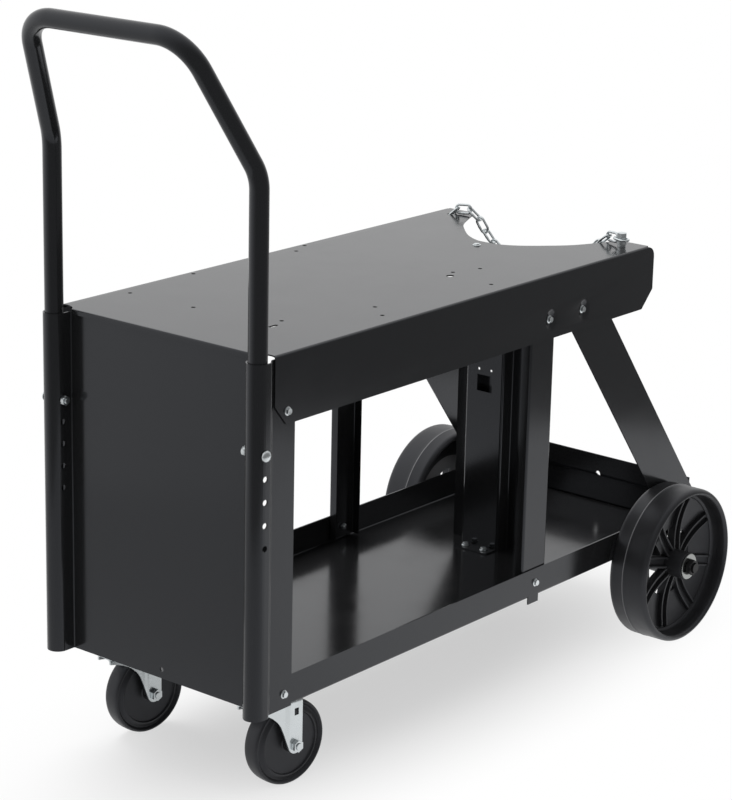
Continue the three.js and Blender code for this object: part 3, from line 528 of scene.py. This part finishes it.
# Handle bolts: round headed zinc bolts through the top holes of the sleeves and the slots in the
# handle's legs, with a hexagon nut on each sleeve's inner side.
bolt_z, dome_seat, sleeve_nut_seat = 524.5, 205.85, 173.35
dome = turned([
    (0.0, -34.0), (4.0, -34.0), (4.0, 0.0), (8.2, 0.0), (8.2, 0.9), (7.6, 2.4), (6.2, 3.7),
    (4.2, 4.7), (2.0, 5.2), (0.0, 5.3),
])
sleeve_nut = nut(flats=6.4, height=6.5, thread=4.0)
for side, hand in hands:
    out = np.array([0.0, side, 0.0])
    through = aimed(dome, (leg_x, side * dome_seat, bolt_z), out)
    bolt = shape(f"{hand}_domed_bolt", *gathered([through]), bright_zinc)
    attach(bolt, "frame")
    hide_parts(f"{hand}_handle_bolt")
    grids = [aimed(grid, (leg_x, side * sleeve_nut_seat, bolt_z), -out) for grid in sleeve_nut]
    fast = shape(f"{hand}_sleeve_nut", *gathered(grids), bright_zinc)
    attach(fast, "frame")
    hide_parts(f"{hand}_handle_nut")

# Rear wheels: moulded in black plastic in one piece, with a smooth rounded tread and a mould line.
# Eight pairs of ribs run out over the dished web, and windows open between the pairs near the hub.
mould_flow = {"Scale": 22.0, "Detail": 4.0, "Roughness": 0.65}
mould = surface_group(
    "moulded_plastic",
    relief={"Scale": 1100.0, "Detail": 2.0},
    patches=mould_flow,
    specks=mould_flow,
    bump={"Strength": 0.14, "Distance": 0.00012},
    roughness=(0.36, 0.5),
)
plastic_colours = (0.011, 0.011, 0.012), (0.021, 0.021, 0.022)
plastic_tint = (0.88, 0.91, 1.0, 1.0)
# This plastic's colour carries a painted highlight, a pale band along the mould line, added below
plastic_painted_highlight = finish_of("black_plastic_painted_highlight", mould, *plastic_colours, Specular_Tint=plastic_tint)

rib_height, web_thick, wheel_y, axle_x, axle_z = 7.0, 6.0, 232.5, 953.0, 127.0
mould_line, line_half = wheel_y - 7.5, 0.9

# The mould line carries a painted highlight: a pale narrow band at its own distance from the cart's middle
# plane
line_tree = plastic_painted_highlight.node_tree
line_shader = line_tree.nodes["Principled BSDF"]
plain_colour = line_shader.inputs["Base Color"].links[0].from_socket
line_place = node(line_tree, "ShaderNodeTexCoord")
line_apart = node(line_tree, "ShaderNodeSeparateXYZ")
from_middle = node(line_tree, "ShaderNodeMath", operation="ABSOLUTE")
band = {1: mould_line / 1000.0, 2: line_half / 1000.0}
on_line = node(line_tree, "ShaderNodeMath", operation="COMPARE", inputs=band)
painted_highlight_line = node(line_tree, "ShaderNodeMix", data_type="RGBA", inputs={colour_b: (0.16, 0.16, 0.165, 1.0)})
wire(line_tree, line_place.outputs["Object"], line_apart.inputs["Vector"])
wire(line_tree, line_apart.outputs["Y"], from_middle.inputs[0])
wire(line_tree, from_middle.outputs["Value"], on_line.inputs[0])
wire(line_tree, on_line.outputs["Value"], painted_highlight_line.inputs[mix_factor])
wire(line_tree, plain_colour, painted_highlight_line.inputs[colour_a])
wire(line_tree, painted_highlight_line.outputs[colour_out], line_shader.inputs["Base Color"])


def dish(radius):
    """Height of the ribs' crest over the wheel's middle: a parabola through hub, middle and rim."""
    return np.polyval(np.polyfit([20.0, 65.0, 114.0], [10.5, 5.0, 16.0], 2), radius)


# Rows from bore to tread, as radius and height: the hub, the web and the rim, on the outer face and
# on the inner one, where the mould line runs round the tread
tread = 126.4
hub_face = np.array([(8.3, 33.9), (8.9, 34.5), (20.4, 34.5), (21.5, 34.0), (22.0, 32.9)])
hub_back = np.array([(8.3, -30.9), (8.9, -31.5), (20.4, -31.5), (21.5, -31.0), (22.0, -29.9)])
web = np.array([
    22.6, 26.0, 29.0, 33.0, 38.0, 44.0, 50.0, 57.0, 60.0, 66.0, 72.0, 79.0, 86.0, 92.0, 97.0, 101.0,
    104.0, 106.0, 107.5, 108.8, 110.0, 111.2, 113.4,
])
lip = np.array([
    (114.4, 11.0), (115.0, 20.0), (115.5, 29.0), (116.1, 31.0), (117.2, 32.9), (118.6, 34.0),
    (120.0, 34.4), (121.6, 34.0), (123.0, 33.1), (124.4, 31.7), (125.4, 30.0), (126.1, 28.0),
    (tread, 25.6),
])
tread_face = np.array([(tread, 18.0), (tread, 12.0), (tread, 8.0), (tread, 4.0), (tread, 2.0), (tread, 0.0)])
tread_back = np.array([
    (tread, -9.4), (126.6, -8.7), (127.0, -7.5), (126.6, -6.3), (tread, -5.6), (tread, -0.4),
])
groove_at, groove_size = 110.0, 0.9
groove = groove_size * np.exp(-((web - groove_at) / groove_size) ** 2)
web_face = np.stack([web, dish(web) - rib_height - groove], axis=-1)
web_back = np.stack([web, dish(web) - rib_height - web_thick], axis=-1)
face_rows = np.concatenate([hub_face, web_face, lip, tread_face])
back_rows = np.concatenate([hub_back, web_back, lip * [1.0, -1.0], tread_back])

# The ribs run out level, then fall to the web along a quarter ellipse
fall_from, fall_length = 101.0, 7.0
rib_end = np.sqrt(np.clip(1.0 - ((web - fall_from) / fall_length).clip(0.0) ** 2, 0.0, 1.0))
rib_rise = np.zeros(len(face_rows))
rib_rise[len(hub_face):len(hub_face) + len(web)] = rib_height * rib_end

# Columns across one spoke: distance from its middle line, rib height there, then shares of the way
# to the next spoke. On the rim the columns spread evenly
spokes, first_spoke = 8, np.radians(32.0)
half_offsets = np.array([2.8, 5.5, 5.9, 7.5, 9.1, 9.5])
half_ribs = np.array([0.0, 0.0, 0.96, 1.0, 0.96, 0.0])
shares = np.array([1.0 / 3.0, 2.0 / 3.0, 1.0])
rib_root, spread_from, spread_length = 26.0, 110.0, 10.0
half_sector = np.pi / spokes
row_radius = face_rows[:, 0]
near_spoke = np.arcsin(half_offsets[None] / np.maximum(row_radius, rib_root)[:, None])
to_next = near_spoke[:, -1:] + shares[None] * (half_sector - near_spoke[:, -1:])
half_turn = np.concatenate([near_spoke, to_next], axis=1)
half_columns = half_turn.shape[1]
even_turn = half_sector * np.arange(1, half_columns + 1)[None] / half_columns
spread = np.clip((row_radius - spread_from) / spread_length, 0.0, 1.0)[:, None]
half_turn = half_turn * (1.0 - spread) + even_turn * spread
one_spoke = np.concatenate([-half_turn[:, -2::-1], 0.0 * row_radius[:, None], half_turn], axis=1)
spoke_turns = [first_spoke + 2.0 * half_sector * k for k in range(spokes)]
wheel_turn = np.concatenate([one_spoke + spoke_turn for spoke_turn in spoke_turns], axis=1)
half_rise = np.concatenate([half_ribs, np.zeros(len(shares))])
rib_of = np.tile(np.concatenate([half_rise[-2::-1], [0.0], half_rise]), spokes)

# Windows open in the web between the spokes, near the hub
window_from, window_to = 25.5, 57.5
window_rows = (row_radius[:-1] > window_from) & (row_radius[1:] < window_to)
over_spoke = np.zeros(2 * len(half_offsets), bool)
before, after = np.ones(len(shares) - 1, bool), np.ones(len(shares) + 1, bool)
window_columns = np.tile(np.concatenate([before, over_spoke, after]), spokes)
wheel_kept = ~(window_rows[:, None] & window_columns[None])
for side, hand in hands:
    grids = []
    for rows, rise in ((face_rows, rib_rise), (back_rows, 0.0 * rib_rise)):
        height = rows[:, 1:] + rise[:, None] * rib_of[None]
        across, upright = rows[:, :1] * np.cos(wheel_turn), rows[:, :1] * np.sin(wheel_turn)
        grids.append(np.stack([axle_x + across, side * (wheel_y + height), axle_z + upright], axis=-1))
    faces = walled(*grids, wheel_kept)
    faces = faces if side > 0 else faces[:, ::-1]
    wheel = shape(f"{hand}_moulded_wheel", in_metres(grids), faces, plastic_painted_highlight)
    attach(wheel, f"{hand}_rear_wheel")
    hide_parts(f"{hand}_wheel")

# Rear axle: a plain steel bar through the brackets below the bottom tray, with a wide zinc washer
# that has gone dull and a blackened hexagon nut at each end.
black_oxide = finish_of("black_oxide_steel", mould, *plastic_colours, Metallic=0.6)
dress("axle", black_oxide)
dullness = np.array([0.49, 0.48, 0.46])
dull_zinc = finish_of("dull_zinc", plating, zinc_dark * dullness, zinc_light * dullness, Metallic=1.0)
washer_seat, axle_nut_seat = 267.3, 270.2
washer_ring = turned([
    (8.3, 0.0), (20.4, 0.0), (21.0, 0.5), (21.0, 2.1), (20.4, 2.6), (8.9, 2.6), (8.3, 2.2), (8.3, 0.0),
], columns=64)
nut_flats = 11.7
nut_corner = nut_flats / np.cos(np.pi / 6.0)
nut_ring = turned([
    (8.1, 0.0), (11.5, 0.0), (nut_corner, 1.3), (nut_corner, 7.7), (11.5, 9.0), (8.8, 9.0), (8.1, 8.3),
    (8.1, 0.0),
], flats=nut_flats)
for side, hand in hands:
    out = np.array([0.0, side, 0.0])
    seated = aimed(washer_ring, (axle_x, side * washer_seat, axle_z), out)
    washer = shape(f"{hand}_wide_washer", *gathered([seated]), dull_zinc)
    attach(washer, "frame")
    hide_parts(f"{hand}_washer")
    seated = aimed(nut_ring, (axle_x, side * axle_nut_seat, axle_z), out)
    fast = shape(f"{hand}_hexagon_nut", *gathered([seated]), black_oxide)
    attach(fast, "frame")
    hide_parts(f"{hand}_axle_nut")

# Casters: zinc plated plates below the bottom tray, and forks pressed from sheet that swivel under
# them on king pins. The wheels are moulded in black plastic and run on bolts through the forks.
wheel_plastic = finish_of("black_wheel_plastic", mould, *plastic_colours, Specular_Tint=plastic_tint)
caster_x, caster_y, trail, caster_radius, caster_bore = 68.0, 136.5, 38.0, 63.5, 5.3
caster_swing = {"left": np.radians(-7.0), "right": np.radians(-8.0)}

# Half of the tyre's section, as radius and distance from its middle: hub, sunk disc, a ring whose
# edge stands up from the disc and whose face slopes outwards, a groove and the round shoulder
half_tyre = np.array([
    (caster_bore, 21.0), (11.2, 21.0), (12.0, 20.3), (12.8, 12.2), (14.2, 11.2), (45.0, 11.0),
    (46.2, 11.2), (46.7, 11.9), (47.1, 13.4), (47.5, 14.0), (48.3, 14.1), (49.0, 13.8), (50.5, 12.6),
    (53.0, 10.9), (55.0, 9.9), (56.2, 9.8), (57.2, 10.6), (58.2, 12.4), (59.2, 13.4), (60.4, 13.5),
    (61.6, 12.8), (62.6, 11.2), (63.2, 8.6), (caster_radius, 4.0),
])
far_half = half_tyre * [1.0, -1.0]
tyre = turned(np.concatenate([far_half, half_tyre[::-1], far_half[:1]]), columns=96)

# A fork, about its king pin: the crown reaches ahead of the pin, and the legs end round the bolt
fork_thick, fork_bend, crown_top, crown_middle = 3.0, 6.5, 134.0, 7.0
crown_front, ridge_front, ridge_rear, leg_front, leg_round = -36.0, 20.5, 27.0, 26.0, 12.5
leg_rear = trail + leg_round
front_half, ridge_half, leg_half = 15.0, 22.4, 25.0
hole_front, hole_rear, hole_low, hole_high, pin_radius = 35.6, 43.2, 109.0, 119.5, 7.0
sweep_start, sweep_pull, sweep_end = np.array([(crown_front, 125.0), (10.0, 119.0), (20.0, 80.0)])
bend_from = crown_top - fork_bend
edge_steps, quarter_steps = 40, 7
fork_x = np.array([
    leg_rear, 49.8, 48.0, 45.5, hole_rear, 39.4, hole_front, 32.7, 30.0, 27.4, 26.6, 23.0, 20.9, 20.1,
    14.0, 10.0, pin_radius, 0.0, -pin_radius, -14.0, -22.0, -30.0, crown_front,
])


def fork_lower_edge(x):
    """Height of a fork's lower edge: a quadratic sweep from the crown's front to the leg, a straight
    run, then the round end about the bolt."""
    share = np.linspace(0.0, 1.0, edge_steps)[:, None]
    rest = 1.0 - share
    sweep = sweep_start * rest ** 2 + 2.0 * sweep_pull * share * rest + sweep_end * share ** 2
    end_x = np.linspace(leg_front, leg_rear, edge_steps)
    end_z = caster_radius - np.sqrt(np.clip(leg_round ** 2 - (end_x - trail) ** 2, 0.0, None))
    return np.interp(x, np.concatenate([sweep[:, 0], end_x]), np.concatenate([sweep[:, 1], end_z]))


def fork_sheet(inset):
    """A fork's bent sheet, set in by inset: at each x the section climbs a leg, turns a quarter
    circle into the crown and comes down again mirrored. Ahead of a pressed ridge the legs close in.
    Each row of a leg keeps its height, or a share of the climb where the lower edge is above it."""
    half = np.interp(fork_x, [crown_front, ridge_front, ridge_rear, leg_rear],
                     [front_half, ridge_half, leg_half, leg_half]) - inset
    bend = fork_bend - inset
    low = fork_lower_edge(fork_x)
    climb = bend_from - low
    row_heights = (
        (0.0, 0.0), (caster_radius - caster_bore, 0.04), (caster_radius + caster_bore, 0.12),
        (hole_low, 0.4), (hole_high, 0.7), (bend_from, 1.0),
    )
    leg_z = np.stack([np.maximum(height, low + climb * share) for height, share in row_heights])
    turn = np.linspace(0.0, np.pi / 2.0, quarter_steps)[1:, None]
    arc_y, arc_z = half - bend + bend * np.cos(turn), bend_from + bend * np.sin(turn) + 0.0 * half
    half_y = np.concatenate([half + 0.0 * leg_z, arc_y, np.full((1, len(fork_x)), crown_middle)])
    half_z = np.concatenate([leg_z, arc_z, arc_z[-1:]])
    y, z = np.concatenate([half_y, -half_y[::-1]]), np.concatenate([half_z, half_z[::-1]])
    return np.stack([fork_x + 0.0 * y, y, z], axis=-1)


# Openings of the sheet: from its front back to its rear, and the holes for bolt, square and pin
fork_sheets = [fork_sheet(0.0), fork_sheet(fork_thick)]
fork_kept = np.ones((len(fork_sheets[0]) - 1, len(fork_x)), bool)
fork_kept[:, -1] = False
cell_x = (fork_x + np.roll(fork_x, -1)) / 2.0
bore_rows, square_rows, pin_rows = [1, -2], [3, -4], [len(fork_kept) // 2]
fork_kept[np.ix_(bore_rows, abs(cell_x - trail) < caster_bore)] = False
fork_kept[np.ix_(square_rows, (cell_x > hole_front) & (cell_x < hole_rear))] = False
fork_kept[np.ix_(pin_rows, abs(cell_x) < pin_radius)] = False
fork_faces = walled(*fork_sheets, fork_kept)
for side, hand in hands:
    for name in ("plate", "bolt", "nut"):
        dress(f"{hand}_caster_{name}", bright_zinc)
    swing = caster_swing[hand]
    rearward = np.array([np.cos(swing), np.sin(swing), 0.0])
    sideways = np.array([-np.sin(swing), np.cos(swing), 0.0])
    pin = np.array([caster_x, side * caster_y, 0.0])
    swung = [sheet @ np.stack([rearward, sideways, [0.0, 0.0, 1.0]]) + pin for sheet in fork_sheets]
    fork = shape(f"{hand}_pressed_fork", in_metres(swung), fork_faces, bright_zinc)
    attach(fork, f"{hand}_swivel")
    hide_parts(f"{hand}_caster_fork")
    hub = pin + trail * rearward + [0.0, 0.0, caster_radius]
    wheel = shape(f"{hand}_moulded_caster_wheel", *gathered([aimed(tyre, hub, sideways)]), wheel_plastic)
    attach(wheel, f"{hand}_front_wheel")
    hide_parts(f"{hand}_caster_wheel")

# Chain: welded zinc links that alternate flat and upright, one end bolted down on a spacer and the
# other dropped into a slot in the tray.
dress("chain_bolt", bright_zinc)
dress("chain_spacer", bright_zinc)
wire_radius, link_length, link_width, wire_columns = 2.0, 27.6, 13.8, 14
bead_rise, bead_length = 0.16, 2.6
bow_steps, run_steps = 13, 8

# A link's middle line, two half circles and two straight runs, with a round section carried along
# it that swells at the weld
bow_turn = np.linspace(-np.pi / 2.0, np.pi / 2.0, bow_steps)
bow_radius, straight = link_width / 2.0, (link_length - link_width) / 2.0
bow_x, bow_y = straight + bow_radius * np.cos(bow_turn), bow_radius * np.sin(bow_turn)
bow = np.stack([bow_x, bow_y, 0.0 * bow_turn], axis=-1)
run_x = np.linspace(straight, -straight, run_steps)[1:-1]
run = np.stack([run_x, bow_radius + 0.0 * run_x, 0.0 * run_x], axis=-1)
link_line = np.concatenate([bow, run, -bow, -run])
forward = np.roll(link_line, -1, axis=0) - np.roll(link_line, 1, axis=0)
forward /= np.linalg.norm(forward, axis=1, keepdims=True)
link_up = np.array([0.0, 0.0, 1.0])
outward = np.cross(forward, link_up)
weld_bead = 1.0 + bead_rise * np.exp(-(link_line[:, 0] / bead_length) ** 2) * (link_line[:, 1] > 0)
wire_turn = (np.arange(wire_columns) * 2.0 * np.pi / wire_columns)[None, :, None]
wire_circle = np.cos(wire_turn) * outward[:, None] + np.sin(wire_turn) * link_up
link_grid = link_line[:, None] + wire_radius * weld_bead[:, None, None] * wire_circle
link_grid = np.concatenate([link_grid, link_grid[:1]])
link_faces = grid_faces(len(link_grid), wire_columns)[:, ::-1]
swinging = frame["record"]["behaviour"]["bodies"]["chain"]
for name in sorted(frame["nodes"]):
    if name.startswith("chain_link"):
        solid = frame["nodes"][name].data
        corners = np.empty(len(solid.vertices) * 3)
        solid.vertices.foreach_get("co", corners)
        corners = corners.reshape(-1, 3)
        middle = corners.mean(axis=0)
        axes = np.linalg.svd(corners - middle, full_matrices=False)[2]
        axes[2] = np.cross(axes[0], axes[1])
        points = (link_grid.reshape(-1, 3) / 1000.0) @ axes + middle
        link = shape(name.replace("chain_link", "welded_link"), points, link_faces, bright_zinc)
        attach(link, "chain" if name in swinging else "frame")
        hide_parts(name)
